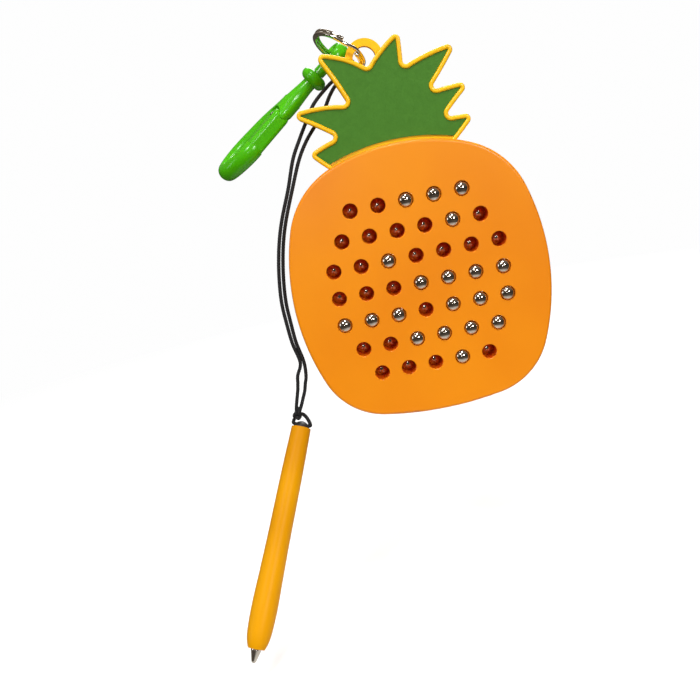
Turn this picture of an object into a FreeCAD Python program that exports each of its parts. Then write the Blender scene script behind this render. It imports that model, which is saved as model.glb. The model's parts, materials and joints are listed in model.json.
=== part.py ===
"""A pineapple-shaped magnetic bead drawing board on a keychain clasp, with its stylus.

Frame, in millimetres: +X to the right, +Z up towards the leaf crown, beads facing -Y.
The origin is on the flat back of the board, straight behind the middle of the bead grid.
Depths are measured forwards from the back, so a point at depth d has y = -d.
"""
import FreeCAD
import Part
import Sketcher
import math
import os

from FreeCAD import Placement, Rotation, Vector

os.makedirs("parts", exist_ok=True)
doc = FreeCAD.newDocument("BeadBoard")

# ---------------------------------------------------------------- driving dimensions
DIMENSIONS = {
    # Bead grid
    "BeadPitch": 6.5,
    "BeadRadius": 1.85,
    "BeadClearance": 0.06,
    "WellMouthRadius": 1.75,
    "WellLip": 0.5,
    "WellMouthBevel": 0.12,
    "BeadSeatGap": 0.02,
    "WellTubeRadius": 2.7,
    "TubeFootGap": 0.15,
    # Board body
    "BoardDepth": 8.5,
    "BackPlate": 1.6,
    "FaceThickness": 1.3,
    "SideWall": 1.4,
    "BodyHalfWidth": 30.4,
    "BodyTop": 32.5,
    "BodyBottom": 31.4,
    "SideArc": 55.0,
    "TopArc": 46.0,
    "BottomArc": 80.0,
    "TopCorner": 20.0,
    "BottomCorner": 16.5,
    "FaceEdgeRound": 0.7,
    "BackEdgeRound": 0.6,
    "PegRadius": 1.0,
    "PegGap": 0.02,
    "PegWall": 1.1,
    "PegTipGap": 2.0,
    "PegSpot": 20.0,
    # Leaf crown
    "CrownBack": 1.5,
    "CrownFront": 7.1,
    "CrownRoot": 3.0,
    "LeafTipRound": 1.15,
    "LeafNotchRound": 0.7,
    "RimWidth": 1.0,
    "RimRound": 0.42,
    "TrayDepth": 1.0,
    "InlayThickness": 0.6,
    "InlayGap": 0.05,
    "InlayFootGap": 0.8,
    "CrownSlotGap": 0.1,
    # Hanging lug
    "LugRadius": 4.3,
    "LugHole": 2.6,
    "LugThickness": 2.5,
    "LugX": -3.1,
    "LugZ": 52.0,
    # Split ring
    "RingMeanRadius": 6.1,
    "RingWireWidth": 0.95,
    "RingWireThickness": 0.7,
    "RingTurnGap": 0.05,
    # Swivel clasp, along its own axis from the bottom of the hook
    "ClaspHalfThickness": 2.25,
    "HookHalfWidth": 1.9,
    "HookReach": 4.1,
    "CollarLow": 30.6,
    "CollarTop": 33.5,
    "CollarRadius": 3.2,
    "StemRadius": 1.1,
    "StemHeadRadius": 1.6,
    "StemHeadLift": 0.6,
    "StemHeadHeight": 1.0,
    "NeckRadius": 1.4,
    "SwivelGap": 0.06,
    "EyeHeight": 39.0,
    "EyeMeanRadius": 2.6,
    "EyeHalfWidth": 1.7,
    "EyeHalfThickness": 1.05,
    "GatePinRadius": 0.5,
    "GatePinX": 1.5,
    "GatePinHeight": 19.4,
    "GateEar": 2.2,
    "GateReach": 8.9,
    "TongueRadius": 1.35,
    "TongueHalfWidth": 1.05,
    "GateSideGap": 0.08,
    "GateGap": 0.15,
    "GateInset": 0.25,
    "GatePinInset": 0.15,
    "GateRound": 1.0,
    "SpringWire": 0.26,
    "SpringMeanRadius": 0.78,
    "SpringPitch": 0.36,
    # Stylus, along its own axis from the top of the barrel
    "BarrelLength": 52.7,
    "BarrelTopRadius": 2.4,
    "BarrelBellyRadius": 3.1,
    "BarrelMouthRadius": 1.95,
    "TipBaseRadius": 1.25,
    "TipLength": 3.1,
    "TipNoseRadius": 0.6,
    "MagnetRadius": 1.5,
    "MagnetLength": 8.0,
    "TipSeat": 3.0,
    "SeatGap": 0.05,
    "PlugRadius": 2.0,
    "PlugStem": 6.0,
    "PlugHeight": 1.7,
    "PlugHole": 0.62,
    # Cord
    "CordRadius": 0.45,
    "CordPairRadius": 0.65,
    "KnotRadius": 1.5,
    "CordJointGap": 0.1,
}
sheet = doc.addObject("Spreadsheet::Sheet", "Dimensions")
for row, (alias, value) in enumerate(DIMENSIONS.items(), start=1):
    sheet.set(f"A{row}", alias)
    sheet.set(f"B{row}", str(value))
    sheet.setAlias(f"B{row}", alias)
doc.recompute()


def size(alias):
    """The value of one cell of the sheet."""
    return float(sheet.get(alias))


def bind(obj, **formulas):
    """Bind properties of obj to formulas written in the sheet's aliases."""
    for prop, formula in formulas.items():
        for alias in sorted(DIMENSIONS, key=len, reverse=True):
            formula = formula.replace(f"<{alias}>", f"Dimensions.{alias}")
        obj.setExpression(prop, formula)


# ---------------------------------------------------------------- places and directions
BEAD_ROWS = (5, 6, 7, 7, 7, 6, 5)
RAISED_BEADS = {1: (3, 4, 5), 2: (5,), 3: (3,), 4: (4, 5, 6, 7), 5: (1, 2, 3, 5, 6, 7), 6: (3, 4, 5, 6), 7: (4,)}

RING_CENTRE = Vector(-8.3, -1.9, 54.95)
RING_LEAN = 41.0       # the ring hangs away from the lug this far above the horizontal
RING_TILT = 14.6       # and is turned this far out of the plane square to the board
RING_WIRE_END = -68.0  # where the wire starts, round the ring

CLASP_FOOT = Vector(-41.9, 4.5, 32.7)
CLASP_LEAN = 56.0      # the clasp's axis leans this far to the right of vertical
CLASP_ROLL = -75.0     # the gate side is turned towards the front

STYLUS_TOP = Vector(-35.6, -4.0, -30.6)
STYLUS_LEAN = 23.7     # the barrel's top leans this far to the right
STYLUS_PITCH = 30.0    # and this far to the back

RIGHT = Vector(1, 0, 0)
BACK = Vector(0, 1, 0)
UP = Vector(0, 0, 1)


# ---------------------------------------------------------------- outlines made of arcs
class Edge:
    """An arc of an outline walked clockwise; turn is +1 when it bulges outwards."""

    def __init__(self, centre, radius, turn):
        self.centre = centre
        self.radius = radius
        self.turn = turn


def bowed_edge(start, end, bow):
    """The arc from start to end, bowed outwards by bow (inwards when bow is negative)."""
    chord = end - start
    outward = Vector(-chord.y, chord.x, 0).normalize()
    radius = (chord.Length ** 2 / 4 + bow ** 2) / (2 * abs(bow))
    middle = (start + end) * 0.5
    turn = 1 if bow > 0 else -1
    return Edge(middle - outward * (turn * (radius - abs(bow))), radius, turn)


def circle_crossing(centre_a, radius_a, centre_b, radius_b, near):
    """The crossing of two circles that lies nearest to the point near."""
    line = centre_b - centre_a
    gap = line.Length
    along = (radius_a ** 2 - radius_b ** 2 + gap ** 2) / (2 * gap)
    across = math.sqrt(max(radius_a ** 2 - along ** 2, 0))
    axis = Vector(line).normalize()
    side = Vector(-axis.y, axis.x, 0)
    foot = centre_a + axis * along
    return min((foot + side * across, foot - side * across), key=lambda point: (point - near).Length)


def on_circle(centre, radius, towards):
    return centre + Vector(towards - centre).normalize() * radius


def touch_point(centre, radius, point, side):
    """Where a line from point just touches a circle; side +1 is to the left, seen from the centre."""
    towards = math.atan2(point.y - centre.y, point.x - centre.x)
    turn = towards + side * math.acos(radius / (point - centre).Length)
    return centre + Vector(math.cos(turn), math.sin(turn), 0) * radius


def rounded_outline(edges, corners, inset=0.0):
    """Arcs of a closed outline.

    corners holds (rough place, radius, +1 for a tip or -1 for a notch) for the corner before each
    edge. A positive inset moves the whole outline inwards.
    """
    arcs = []
    rounds = []
    for index, (place, radius, kind) in enumerate(corners):
        before = edges[index - 1]
        after = edges[index]
        centre = circle_crossing(before.centre, before.radius - before.turn * kind * radius,
                                 after.centre, after.radius - after.turn * kind * radius, place)
        rounds.append((centre, radius - kind * inset))
    for index, edge in enumerate(edges):
        before = edges[index - 1]
        after_round = rounds[(index + 1) % len(edges)][0]
        here, corner_radius = rounds[index]
        radius = edge.radius - edge.turn * inset
        arrive = on_circle(before.centre, before.radius - before.turn * inset, here)
        leave = on_circle(edge.centre, radius, here)
        finish = on_circle(edge.centre, radius, after_round)
        turn_point = on_circle(here, corner_radius, (arrive + leave) * 0.5)
        bow_point = on_circle(edge.centre, radius, (leave + finish) * 0.5)
        arcs.append(Part.Arc(arrive, turn_point, leave))
        arcs.append(Part.Arc(leave, bow_point, finish))
    return arcs


def body_outline(inset=0.0):
    """The rounded fruit shape of the board's body: four long arcs and four corner arcs."""
    half_width = size("BodyHalfWidth")
    top = size("BodyTop")
    bottom = -size("BodyBottom")
    edges = (Edge(Vector(0, top - size("TopArc"), 0), size("TopArc"), 1),
             Edge(Vector(half_width - size("SideArc"), 0, 0), size("SideArc"), 1),
             Edge(Vector(0, bottom + size("BottomArc"), 0), size("BottomArc"), 1),
             Edge(Vector(size("SideArc") - half_width, 0, 0), size("SideArc"), 1))
    corners = ((Vector(-half_width, top, 0), size("TopCorner"), 1),
               (Vector(half_width, top, 0), size("TopCorner"), 1),
               (Vector(half_width, bottom, 0), size("BottomCorner"), 1),
               (Vector(-half_width, bottom, 0), size("BottomCorner"), 1))
    return rounded_outline(edges, corners, inset)


# The crown's corners, clockwise from the lower left: place, +1 tip or -1 notch, and the bow of the
# edge that leads to the next corner.
CROWN_CORNERS = (
    (Vector(-19.7, 33.6, 0), 1, 0.30),
    (Vector(-12.5, 36.1, 0), -1, -0.30),
    (Vector(-23.0, 43.0, 0), 1, 0.80),
    (Vector(-8.6, 42.6, 0), -1, -0.25),
    (Vector(-14.4, 54.8, 0), 1, 0.95),
    (Vector(-2.9, 49.6, 0), -1, 0.50),
    (Vector(5.4, 56.2, 0), 1, 0.10),
    (Vector(4.9, 48.3, 0), -1, 0.55),
    (Vector(17.7, 51.2, 0), 1, 0.20),
    (Vector(9.6, 41.9, 0), -1, 0.25),
    (Vector(19.8, 42.4, 0), 1, -0.20),
    (Vector(12.0, 35.6, 0), -1, 0.15),
    (Vector(19.2, 35.3, 0), 1, 0.20),
)
CROWN_FOOT_LEFT = Vector(-13.2, 27.4, 0)
CROWN_FOOT_RIGHT = Vector(11.5, 28.4, 0)


def crown_outline(inset=0.0, foot_lift=0.0, foot_round=0.35):
    """The leaf crown, closed below by an arc foot_lift above the top arc of the body."""
    points = [CROWN_FOOT_LEFT] + [corner[0] for corner in CROWN_CORNERS] + [CROWN_FOOT_RIGHT]
    bows = [0.25] + [corner[2] for corner in CROWN_CORNERS]
    edges = [bowed_edge(points[i], points[i + 1], bows[i]) for i in range(len(bows))]
    body_centre = Vector(0, size("BodyTop") - size("TopArc"), 0)
    edges.append(Edge(body_centre, size("TopArc") + foot_lift - inset, -1))
    radii = {1: size("LeafTipRound"), -1: size("LeafNotchRound")}
    corners = [(CROWN_FOOT_LEFT, foot_round + max(inset, 0), 1)]
    corners += [(place, radii[kind], kind) for place, kind, bow in CROWN_CORNERS]
    corners.append((CROWN_FOOT_RIGHT, foot_round + max(inset, 0), 1))
    return rounded_outline(edges, corners, inset)


# ---------------------------------------------------------------- modelling helpers
def new_body(label, placement=None):
    body = doc.addObject("PartDesign::Body", label)
    body.Label = label
    if placement is not None:
        body.Placement = placement
    return body


def plane_of(body, role):
    return next(feature for feature in body.Origin.OriginFeatures if feature.Role == role)


def new_sketch(body, name, role="XZ_Plane", offset=0.0):
    """A sketch on one of the body's own planes; on XZ_Plane, offset is a depth from the back."""
    sketch = body.newObject("Sketcher::SketchObject", name)
    sketch.AttachmentSupport = [(plane_of(body, role), "")]
    sketch.MapMode = "FlatFace"
    sketch.AttachmentOffset = Placement(Vector(0, 0, offset), Rotation())
    return sketch


def outline_sketch(body, name, arcs, offset):
    sketch = new_sketch(body, name, offset=offset)
    sketch.addGeometry(arcs, False)
    return sketch


def circles_sketch(body, name, spots, alias, offset, role="XZ_Plane"):
    """Circles of one radius, each held at its spot; the radius follows the sheet."""
    sketch = new_sketch(body, name, role, offset)
    for spot in spots:
        index = sketch.addGeometry(Part.Circle(Vector(spot[0], spot[1], 0), UP, 1.0), False)
        sketch.addConstraint(Sketcher.Constraint("DistanceX", -1, 1, index, 3, spot[0]))
        sketch.addConstraint(Sketcher.Constraint("DistanceY", -1, 1, index, 3, spot[1]))
        radius = sketch.addConstraint(Sketcher.Constraint("Radius", index, 1.0))
        bind(sketch, **{f"Constraints[{radius}]": alias})
    return sketch


def polygon_sketch(body, name, points, role="XZ_Plane", offset=0.0):
    sketch = new_sketch(body, name, role, offset)
    ends = points[1:] + points[:1]
    for start, end in zip(points, ends):
        sketch.addGeometry(Part.LineSegment(Vector(*start, 0), Vector(*end, 0)), False)
    return sketch


def pad(body, sketch, length, **settings):
    feature = body.newObject("PartDesign::Pad", sketch.Name + "Pad")
    feature.Profile = sketch
    for name, value in settings.items():
        setattr(feature, name, value)
    bind(feature, Length=length)
    doc.recompute()
    return feature


def pocket(body, sketch, length, **settings):
    """Cut a sketch, forwards from its plane unless told otherwise, and check that it cut something."""
    before = body.Shape.Volume
    feature = body.newObject("PartDesign::Pocket", sketch.Name + "Pocket")
    feature.Profile = sketch
    feature.Reversed = True
    for name, value in settings.items():
        setattr(feature, name, value)
    bind(feature, Length=length)
    doc.recompute()
    if body.Shape.Volume > before - 1e-3:
        raise RuntimeError(f"{feature.Name} cut nothing")
    return feature


def revolve(body, sketch, kind="PartDesign::Revolution", axis="V_Axis"):
    feature = body.newObject(kind, sketch.Name + kind.split("::")[1])
    feature.Profile = sketch
    feature.ReferenceAxis = (sketch, [axis])
    doc.recompute()
    return feature


def round_edges(body, name, chosen, radius, kind="PartDesign::Fillet"):
    """Round or bevel the edges of the body that the function chosen picks."""
    base = body.Tip
    names = [f"Edge{i + 1}" for i, edge in enumerate(base.Shape.Edges) if chosen(edge)]
    feature = body.newObject(kind, name)
    feature.Base = (base, names)
    bind(feature, **({"Radius": radius} if kind.endswith("Fillet") else {"Size": radius}))
    doc.recompute()
    return feature


def at_depth(edge, depth):
    """True for an edge that lies wholly in the plane at one depth from the back."""
    box = edge.BoundBox
    return abs(box.YMin + depth) < 1e-4 and abs(box.YMax + depth) < 1e-4


def bead_spots():
    """(row, column, x, z) of every well, row 1 at the top."""
    spots = []
    for row, count in enumerate(BEAD_ROWS, start=1):
        for column in range(1, count + 1):
            x = (column - (count + 1) / 2) * size("BeadPitch")
            z = ((len(BEAD_ROWS) + 1) / 2 - row) * size("BeadPitch")
            spots.append((row, column, x, z))
    return spots


WELL_PLACES = [(x, z) for row, column, x, z in bead_spots()]
PEG_PLACES = [(side * size("PegSpot"), end * size("PegSpot")) for side in (-1, 1) for end in (-1, 1)]


# ---------------------------------------------------------------- front shell
def make_front_shell():
    """The orange cover: face, side wall, 43 well tubes with lips, and four peg sockets."""
    body = new_body("front_shell")
    back_plate = size("BackPlate")
    depth = size("BoardDepth")
    tube_start = back_plate + size("TubeFootGap")
    pad(body, outline_sketch(body, "ShellOutline", body_outline(), back_plate), "<BoardDepth> - <BackPlate>")
    round_edges(body, "FaceEdge", lambda edge: at_depth(edge, depth), "<FaceEdgeRound>")
    hollow = outline_sketch(body, "ShellHollow", body_outline(size("SideWall")), back_plate)
    pocket(body, hollow, "<BoardDepth> - <BackPlate> - <FaceThickness>")
    tubes = circles_sketch(body, "WellTubes", WELL_PLACES, "<WellTubeRadius>", tube_start)
    pad(body, tubes, "<BoardDepth> - <FaceThickness> - <BackPlate>")
    sockets = circles_sketch(body, "PegSockets", PEG_PLACES, "<PegRadius> + <PegWall>", tube_start)
    pad(body, sockets, "<BoardDepth> - <FaceThickness> - <BackPlate>")
    bores = circles_sketch(body, "WellBores", WELL_PLACES, "<BeadRadius> + <BeadClearance>", back_plate)
    pocket(body, bores, "<BoardDepth> - <BackPlate> - <WellLip>")
    mouths = circles_sketch(body, "WellMouths", WELL_PLACES, "<WellMouthRadius>", back_plate)
    pocket(body, mouths, "<BoardDepth> - <BackPlate> + 1")
    peg_holes = circles_sketch(body, "PegHoles", PEG_PLACES, "<PegRadius>", back_plate)
    pocket(body, peg_holes, "<BoardDepth> - <BackPlate> - <FaceThickness>")
    slot_outline = crown_outline(-size("CrownSlotGap"), -size("CrownRoot") - size("CrownSlotGap"))
    slot = outline_sketch(body, "CrownSlot", slot_outline, back_plate)
    pocket(body, slot, "<BoardDepth> - <BackPlate> - <FaceThickness>")

    def is_mouth(edge):
        return at_depth(edge, depth) and edge.BoundBox.XLength < 2.5 * size("WellMouthRadius")

    round_edges(body, "MouthBevels", is_mouth, "<WellMouthBevel>", "PartDesign::Chamfer")
    return body


# ---------------------------------------------------------------- back shell
def make_back_shell():
    """The yellow half: back plate, pegs, the leaf crown with its tray, and the hanging lug."""
    body = new_body("back_shell")
    crown_front = size("CrownFront")
    tray_floor = crown_front - size("TrayDepth")
    lug = [(size("LugX"), size("LugZ"))]
    pad(body, outline_sketch(body, "BackOutline", body_outline(), 0.0), "<BackPlate>")
    round_edges(body, "BackEdge", lambda edge: at_depth(edge, 0.0), "<BackEdgeRound>")
    crown = outline_sketch(body, "CrownOutline", crown_outline(0.0, -size("CrownRoot")), size("CrownBack"))
    pad(body, crown, "<CrownFront> - <CrownBack>")
    pad(body, circles_sketch(body, "Lug", lug, "<LugRadius>", size("CrownBack")), "<LugThickness>")
    pocket(body, circles_sketch(body, "LugEye", lug, "<LugHole>", size("CrownBack")), "<LugThickness>")
    tray = outline_sketch(body, "CrownTray", crown_outline(size("RimWidth")), tray_floor)
    pocket(body, tray, "<TrayDepth>")
    pegs = circles_sketch(body, "Pegs", PEG_PLACES, "<PegRadius> - <PegGap>", size("BackPlate"))
    pad(body, pegs, "<BoardDepth> - <FaceThickness> - <BackPlate> - <PegTipGap>")

    def is_rim(edge):
        return at_depth(edge, crown_front) and edge.CenterOfMass.z > size("BodyTop") - 1.5

    round_edges(body, "RimRound", is_rim, "<RimRound>")
    return body


def make_crown_inlay():
    """The green leaf panel that lies in the crown's tray."""
    body = new_body("crown_inlay")
    outline = crown_outline(size("RimWidth") + size("InlayGap"), size("InlayFootGap"))
    sketch = outline_sketch(body, "InlayOutline", outline, size("CrownFront") - size("TrayDepth"))
    pad(body, sketch, "<InlayThickness>")
    return body


# ---------------------------------------------------------------- beads
def bead_depth(raised):
    """Depth of a bead's centre: against the lip when raised, on the back plate when down."""
    radius = size("BeadRadius")
    if not raised:
        return size("BackPlate") + radius + size("BeadSeatGap")
    lip_contact = math.sqrt(radius ** 2 - size("WellMouthRadius") ** 2)
    return size("BoardDepth") - size("WellLip") - lip_contact - size("BeadSeatGap")


def make_beads():
    for row, column, x, z in bead_spots():
        raised = column in RAISED_BEADS.get(row, ())
        bead = doc.addObject("Part::Sphere", f"bead_r{row}c{column}")
        bind(bead, Radius="<BeadRadius>")
        bead.Placement = Placement(Vector(x, -bead_depth(raised), z), Rotation())


# ---------------------------------------------------------------- coils of flat wire
def make_coil(label, turns, radius, width, thickness, pitch):
    """A coil of rectangular wire round its own Z; the sizes after turns are formulas of the sheet."""
    helix = doc.addObject("Part::Helix", label + "_path")
    bind(helix, Radius=radius, Pitch=pitch, Height=f"{turns} * ({pitch})")
    section = doc.addObject("Part::Plane", label + "_section")
    bind(section, Length=width, Width=thickness)
    section.Placement = Placement(Vector(), Rotation(RIGHT, 90))
    bind(section, **{"Placement.Base.x": f"{radius} - ({width}) / 2", "Placement.Base.z": f"-({thickness}) / 2"})
    doc.recompute()
    coil = doc.addObject("Part::Sweep", label)
    coil.Sections = [section]
    coil.Spine = (helix, ["Edge1"])
    coil.Solid = True
    coil.Frenet = True
    return coil


def make_split_ring():
    """Two turns of flat wire, the axis nearly in the plane of the board."""
    ring = make_coil("split_ring", 2, "<RingMeanRadius>", "<RingWireWidth>", "<RingWireThickness>",
                     "<RingWireThickness> + <RingTurnGap>")
    turn = Rotation(BACK, RING_LEAN) * Rotation(RIGHT, -RING_TILT) * Rotation(UP, RING_WIRE_END)
    half_height = size("RingWireThickness") + size("RingTurnGap")
    ring.Placement = Placement(RING_CENTRE - turn.multVec(UP) * half_height, turn)


# ---------------------------------------------------------------- swivel clasp
def clasp_placement():
    return Placement(CLASP_FOOT, Rotation(BACK, CLASP_LEAN) * Rotation(UP, CLASP_ROLL))


def spline(points):
    curve = Part.BSplineCurve()
    curve.interpolate([Vector(*point) for point in points])
    return curve


def oval(centre_x, half_x, half_y):
    """A closed smooth oval, always started at the same side so that lofts don't twist."""
    points = []
    for index in range(12):
        angle = math.tau * index / 12
        points.append(Vector(centre_x + half_x * math.cos(angle), half_y * math.sin(angle), 0))
    curve = Part.BSplineCurve()
    curve.interpolate(points, PeriodicFlag=True)
    return curve


def seam_points(radius, left, right):
    """Three points of the seam between nose and gate: an arc about the gate's pin from x left to right."""
    points = []
    for x in (left, (left + right) / 2, right):
        across = x - size("GatePinX")
        points.append(Vector(x, size("GatePinHeight") - math.sqrt(radius ** 2 - across ** 2), 0))
    return points


# Ovals of the clasp's neck from the collar down to the gate's pin: height, centre and half width
# across, half thickness.
NECK_OVALS = ((31.5, 0.0, 1.55, 1.65), (28.5, 0.0, 1.65, 1.75), (25.2, 0.1, 2.15, 2.1),
              (22.6, 0.1, 3.1, 2.25), (20.0, -0.25, 3.9, 2.25))


def make_clasp_body():
    """The hook: a tapered neck, then spine, round bottom and nose in one swept bar, with a collar."""
    body = new_body("clasp_body", clasp_placement())
    reach = size("HookReach")
    half_width = size("HookHalfWidth")
    top = 25.0
    path = new_sketch(body, "HookPath")
    path.addGeometry(spline([(0, top, 0), (-0.8, 22.0, 0), (-2.9, 18.0, 0), (-reach, 12.0, 0),
                             (-3.7, 5.6, 0), (0, half_width, 0), (3.7, 5.4, 0), (reach, 11.5, 0)]), False)
    section = new_sketch(body, "HookSection", "XY_Plane", top)
    section.addGeometry(Part.Ellipse(Vector(0, size("ClaspHalfThickness"), 0), Vector(half_width, 0, 0),
                                     Vector(0, 0, 0)), False)
    doc.recompute()
    bar = body.newObject("PartDesign::AdditivePipe", "HookBar")
    bar.Profile = section
    bar.Spine = (path, ["Edge1"])
    doc.recompute()
    ovals = []
    for index, (height, centre_x, half_x, half_y) in enumerate(NECK_OVALS, start=1):
        ovals.append(new_sketch(body, f"NeckOval{index}", "XY_Plane", height))
        ovals[-1].addGeometry(oval(centre_x, half_x, half_y), False)
    doc.recompute()
    neck = body.newObject("PartDesign::AdditiveLoft", "Neck")
    neck.Profile = ovals[0]
    neck.Sections = ovals[1:]
    doc.recompute()
    low = size("CollarLow")
    high = size("CollarTop")
    rim = size("CollarRadius")
    collar = new_sketch(body, "CollarProfile")
    bulge = (high - low) / 2
    collar.addGeometry([
        Part.LineSegment(Vector(0, low, 0), Vector(rim - bulge, low, 0)),
        Part.Arc(Vector(rim - bulge, low, 0), Vector(rim, low + bulge, 0), Vector(rim - bulge, high, 0)),
        Part.LineSegment(Vector(rim - bulge, high, 0), Vector(0, high, 0)),
        Part.LineSegment(Vector(0, high, 0), Vector(0, low, 0))], False)
    revolve(body, collar)
    pin_x = size("GatePinX")
    pin_z = size("GatePinHeight")
    pin_spot = [(pin_x, pin_z)]
    recess = circles_sketch(body, "EarRecess", pin_spot, "<GateEar> + <GateGap>", 0.0)
    pocket(body, recess, "4 * <ClaspHalfThickness>", Midplane=True, Reversed=False)
    tongue = size("TongueRadius")
    link = new_sketch(body, "Tongue")
    root = pin_x - size("GateEar") - 1.2
    top_point = Vector(pin_x, pin_z + tongue, 0)
    low_point = Vector(pin_x, pin_z - tongue, 0)
    link.addGeometry([
        Part.Arc(top_point, Vector(pin_x + tongue, pin_z, 0), low_point),
        Part.LineSegment(low_point, Vector(root, pin_z - 0.6, 0)),
        Part.LineSegment(Vector(root, pin_z - 0.6, 0), Vector(root, pin_z + 2.4, 0)),
        Part.LineSegment(Vector(root, pin_z + 2.4, 0), top_point)], False)
    pad(body, link, "2 * <TongueHalfWidth>", Midplane=True)
    pin_hole = circles_sketch(body, "PinHole", pin_spot, "<GatePinRadius>", 0.0)
    pocket(body, pin_hole, "4 * <ClaspHalfThickness>", Midplane=True, Reversed=False)
    room = circles_sketch(body, "SpringRoom", pin_spot, "<SpringMeanRadius> + <SpringWire>", 0.0)
    pocket(body, room, "3 * <SpringPitch> + 2 * <SpringWire>", Midplane=True, Reversed=False)
    seam = new_sketch(body, "NoseSeam")
    inner, middle, outer = seam_points(size("GateReach") + size("GateGap"), 0.5, size("HookReach") * 2)
    nose_room = pin_z - 5.5
    seam.addGeometry([
        Part.Arc(inner, middle, outer),
        Part.LineSegment(outer, Vector(outer.x, nose_room, 0)),
        Part.LineSegment(Vector(outer.x, nose_room, 0), Vector(inner.x, nose_room, 0)),
        Part.LineSegment(Vector(inner.x, nose_room, 0), inner)], False)
    pocket(body, seam, "4 * <ClaspHalfThickness>", Midplane=True, Reversed=False)
    gap = size("SwivelGap")
    stem = size("StemRadius") + gap
    head = size("StemHeadRadius") + gap
    cavity_low = low + size("StemHeadLift") - gap
    cavity_high = low + size("StemHeadLift") + size("StemHeadHeight") + gap
    cavity = polygon_sketch(body, "SwivelCavity", [(0, cavity_low), (head, cavity_low), (head, cavity_high),
                                                   (stem, cavity_high), (stem, high + 1), (0, high + 1)])
    revolve(body, cavity, "PartDesign::Groove")
    return body


def make_swivel_bail():
    """The eye that the split ring passes through, on a stem with a head held in the collar."""
    body = new_body("swivel_bail", clasp_placement())
    head_low = size("CollarLow") + size("StemHeadLift")
    head_high = head_low + size("StemHeadHeight")
    shoulder = size("CollarTop") + size("GateGap")
    eye = size("EyeHeight")
    stem_top = eye - size("EyeMeanRadius")
    stem = polygon_sketch(body, "StemProfile", [
        (0, head_low), (size("StemHeadRadius"), head_low), (size("StemHeadRadius"), head_high),
        (size("StemRadius"), head_high), (size("StemRadius"), shoulder), (size("NeckRadius"), shoulder),
        (size("NeckRadius"), stem_top), (0, stem_top)])
    revolve(body, stem)
    section = new_sketch(body, "EyeSection", "YZ_Plane")
    section.addGeometry(Part.Ellipse(Vector(size("EyeHalfWidth"), eye + size("EyeMeanRadius"), 0),
                                     Vector(0, eye + size("EyeMeanRadius") + size("EyeHalfThickness"), 0),
                                     Vector(0, eye + size("EyeMeanRadius"), 0)), False)
    section.addGeometry(Part.LineSegment(Vector(-1, eye, 0), Vector(1, eye, 0)), True)
    doc.recompute()
    ring = body.newObject("PartDesign::Revolution", "EyeRing")
    ring.Profile = section
    ring.ReferenceAxis = (section, ["Axis0"])
    doc.recompute()
    return body


def make_clasp_gate():
    """The lever that closes the hook: two ears on the pin and a bar down to the nose."""
    body = new_body("clasp_gate", clasp_placement())
    pin_x = size("GatePinX")
    pin_z = size("GatePinHeight")
    reach = size("HookReach")
    half = size("HookHalfWidth") - 0.35
    ear = size("GateEar")
    inner, middle, outer = seam_points(size("GateReach"), reach - half, reach + half)
    pin = Vector(pin_x, pin_z, 0)
    left = touch_point(pin, ear, inner, -1)
    right = touch_point(pin, ear, outer, 1)
    bar = new_sketch(body, "GateBar")
    bar.addGeometry([Part.Arc(inner, middle, outer), Part.LineSegment(outer, right),
                     Part.Arc(right, Vector(pin_x, pin_z + ear, 0), left), Part.LineSegment(left, inner)], False)
    pad(body, bar, "2 * <ClaspHalfThickness> - 2 * <GateInset>", Midplane=True)

    side = size("ClaspHalfThickness") - size("GateInset")

    def is_long_side(edge):
        return abs(abs(edge.CenterOfMass.y) - side) < 0.01 and edge.Length > 5.0 and edge.BoundBox.ZMax < pin_z + 1.0

    round_edges(body, "GateRoundSides", is_long_side, "<GateRound>")
    tongue = size("TongueRadius") + size("GateGap")
    slot = new_sketch(body, "TongueSlot")
    top_point = Vector(pin_x, pin_z + tongue, 0)
    low_point = Vector(pin_x, pin_z - tongue, 0)
    far_left = pin_x - ear - 1.0
    slot.addGeometry([
        Part.Arc(top_point, Vector(pin_x + tongue, pin_z, 0), low_point),
        Part.LineSegment(low_point, Vector(far_left, pin_z - tongue - 1.6, 0)),
        Part.LineSegment(Vector(far_left, pin_z - tongue - 1.6, 0), Vector(far_left, pin_z + 3.0, 0)),
        Part.LineSegment(Vector(far_left, pin_z + 3.0, 0), Vector(pin_x, pin_z + 3.0, 0)),
        Part.LineSegment(Vector(pin_x, pin_z + 3.0, 0), top_point)], False)
    pocket(body, slot, "2 * <TongueHalfWidth> + 2 * <GateSideGap>", Midplane=True, Reversed=False)
    hole = circles_sketch(body, "EarHoles", [(pin_x, pin_z)], "<GatePinRadius> + <SwivelGap>", 0.0)
    pocket(body, hole, "4 * <ClaspHalfThickness>", Midplane=True, Reversed=False)
    return body


def make_gate_pin():
    pin = doc.addObject("Part::Cylinder", "gate_pin")
    bind(pin, Radius="<GatePinRadius>", Height="2 * <ClaspHalfThickness> - 2 * <GatePinInset>")
    half_length = size("ClaspHalfThickness") - size("GatePinInset")
    local = Placement(Vector(size("GatePinX"), half_length, size("GatePinHeight")), Rotation(RIGHT, 90))
    pin.Placement = clasp_placement() * local


def make_gate_spring():
    """A small coil round the pin, inside the tongue."""
    spring = make_coil("gate_spring", 3, "<SpringMeanRadius>", "<SpringWire>", "<SpringWire>", "<SpringPitch>")
    half_length = 1.5 * size("SpringPitch")
    local = Placement(Vector(size("GatePinX"), half_length, size("GatePinHeight")), Rotation(RIGHT, 90))
    spring.Placement = clasp_placement() * local


# ---------------------------------------------------------------- stylus
def stylus_placement():
    turn = Rotation(BACK, STYLUS_LEAN) * Rotation(RIGHT, -STYLUS_PITCH)
    return Placement(STYLUS_TOP, turn)


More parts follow.
